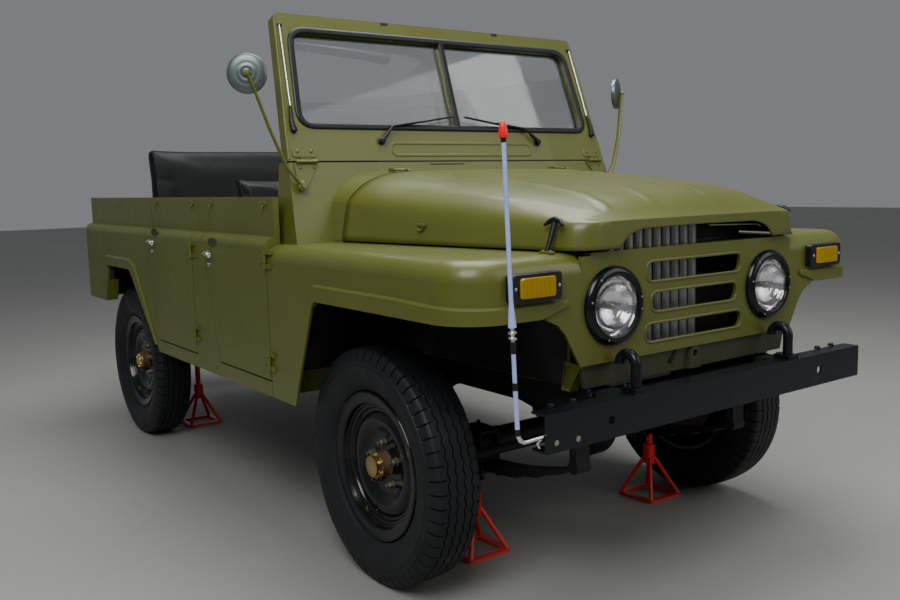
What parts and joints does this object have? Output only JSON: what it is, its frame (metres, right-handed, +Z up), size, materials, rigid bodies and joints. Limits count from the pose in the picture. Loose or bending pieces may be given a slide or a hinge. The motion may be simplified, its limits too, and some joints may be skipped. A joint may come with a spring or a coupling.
{
  "type": "army 4x4 car",
  "caption": "Open light military 4x4 car with folding windshield, low doors, shuttered slotted front panel, fluted hood, leaf springs and bumper, parked on axle stands.",
  "frame": {"origin": "on the ground under the middle of the overall length and width", "axes": "+X forward, +Y to the car's left, +Z up"},
  "size_m": [3.86, 1.8906, 1.8574],
  "materials": {
    "olive_paint": "semi-gloss",
    "black_paint": "satin",
    "tyre": "matte",
    "glass": "clear",
    "lamp": "clear",
    "signal": "gloss",
    "seat_cover": "matte",
    "radiator": "matte",
    "red_paint": "gloss",
    "cast_iron": "rough",
    "black_plastic": "satin"
  },
  "bodies": {
    "chassis": {"frame_rails": "black_paint", "front_bumper": "black_paint", "leaf_springs": "black_paint", "front_axle": "black_paint", "rear_axle": "black_paint", "powertrain": "cast_iron", "drive_shafts": "black_paint", "floor_pan": "olive_paint", "side_walls": "olive_paint", "fenders": "olive_paint", "front_panel": "olive_paint", "valance": "black_paint", "radiator": "radiator", "shutters": "olive_paint", "headlamps": "lamp", "signal_lamps": "signal", "cowl": "olive_paint", "dashboard": "olive_paint", "front_seats": "seat_cover", "rear_bench": "seat_cover", "mirrors": "black_plastic", "marker_pole": "olive_paint", "axle_stands": "red_paint"},
    "knuckle_left": {"knuckle_left": "cast_iron"},
    "knuckle_right": {"knuckle_right": "cast_iron"},
    "track_rod": {"track_rod": "black_paint"},
    "front_left_wheel": {"tyre_front_left": "tyre", "wheel_front_left": "olive_paint"},
    "front_right_wheel": {"tyre_front_right": "tyre", "wheel_front_right": "olive_paint"},
    "rear_left_wheel": {"tyre_rear_left": "tyre", "wheel_rear_left": "olive_paint"},
    "rear_right_wheel": {"tyre_rear_right": "tyre", "wheel_rear_right": "olive_paint"},
    "hood": {"hood": "olive_paint"},
    "windshield": {"windshield_frame": "olive_paint", "windshield_glass": "glass"},
    "front_left_door": {"door_front_left": "olive_paint"},
    "front_right_door": {"door_front_right": "olive_paint"},
    "rear_left_door": {"door_rear_left": "olive_paint"},
    "rear_right_door": {"door_rear_right": "olive_paint"},
    "steering_wheel": {"steering_wheel": "black_plastic"},
    "rear_gate": {"rear_gate": "olive_paint", "spare_wheel": "olive_paint", "spare_tyre": "tyre"}
  },
  "joints": [
    {"name": "steer_left", "type": "hinge", "parent": "chassis", "child": "knuckle_left", "pos_m": [1.212, 0.6, 0.374], "axis": [0, 0, 1], "range_deg": [-26, 26]},
    {"name": "steer_right", "type": "hinge", "parent": "chassis", "child": "knuckle_right", "pos_m": [1.212, -0.6, 0.374], "axis": [0, 0, 1], "range_deg": [-26, 26]},
    {"name": "track_rod_swing", "type": "hinge", "parent": "knuckle_left", "child": "track_rod", "pos_m": [1.402, 0.6, 0.404], "axis": [0, 0, 1], "range_deg": [-26, 26]},
    {"name": "steering_wheel_turn", "type": "hinge", "parent": "chassis", "child": "steering_wheel", "pos_m": [0.33, 0.4, 1.13], "axis": [-0.7748, 0, 0.6322], "range_deg": [-468, 468]},
    {"name": "front_left_spin", "type": "hinge", "parent": "knuckle_left", "child": "front_left_wheel", "pos_m": [1.212, 0.72, 0.374], "axis": [0, 1, 0], "continuous": true},
    {"name": "front_right_spin", "type": "hinge", "parent": "knuckle_right", "child": "front_right_wheel", "pos_m": [1.212, -0.72, 0.374], "axis": [0, 1, 0], "continuous": true},
    {"name": "rear_left_spin", "type": "hinge", "parent": "chassis", "child": "rear_left_wheel", "pos_m": [-1.088, 0.72, 0.374], "axis": [0, 1, 0], "continuous": true},
    {"name": "rear_right_spin", "type": "hinge", "parent": "chassis", "child": "rear_right_wheel", "pos_m": [-1.088, -0.72, 0.374], "axis": [0, 1, 0], "continuous": true},
    {"name": "front_left_door_swing", "type": "hinge", "parent": "chassis", "child": "front_left_door", "pos_m": [0.697, 0.877, 0.82], "axis": [0, 0, -1], "range_deg": [0, 70]},
    {"name": "front_right_door_swing", "type": "hinge", "parent": "chassis", "child": "front_right_door", "pos_m": [0.697, -0.877, 0.82], "axis": [0, 0, 1], "range_deg": [0, 70]},
    {"name": "rear_left_door_swing", "type": "hinge", "parent": "chassis", "child": "rear_left_door", "pos_m": [-0.005, 0.877, 0.82], "axis": [0, 0, -1], "range_deg": [0, 70]},
    {"name": "rear_right_door_swing", "type": "hinge", "parent": "chassis", "child": "rear_right_door", "pos_m": [-0.005, -0.877, 0.82], "axis": [0, 0, 1], "range_deg": [0, 70]},
    {"name": "hood_lift", "type": "hinge", "parent": "chassis", "child": "hood", "pos_m": [0.812, 0, 1.291], "axis": [0, -1, 0], "range_deg": [0, 60]},
    {"name": "windshield_fold", "type": "hinge", "parent": "chassis", "child": "windshield", "pos_m": [0.695, 0, 1.325], "axis": [0, -1, 0], "range_deg": [-100, 0]},
    {"name": "rear_gate_swing", "type": "hinge", "parent": "chassis", "child": "rear_gate", "pos_m": [-1.587, -0.637, 0.92], "axis": [0, 0, 1], "range_deg": [0, 105]}
  ],
  "couplings": [
    {"joint": "steer_right", "follows": "steer_left", "ratio": 1},
    {"joint": "track_rod_swing", "follows": "steer_left", "ratio": -1},
    {"joint": "steering_wheel_turn", "follows": "steer_left", "ratio": 18}
  ]
}
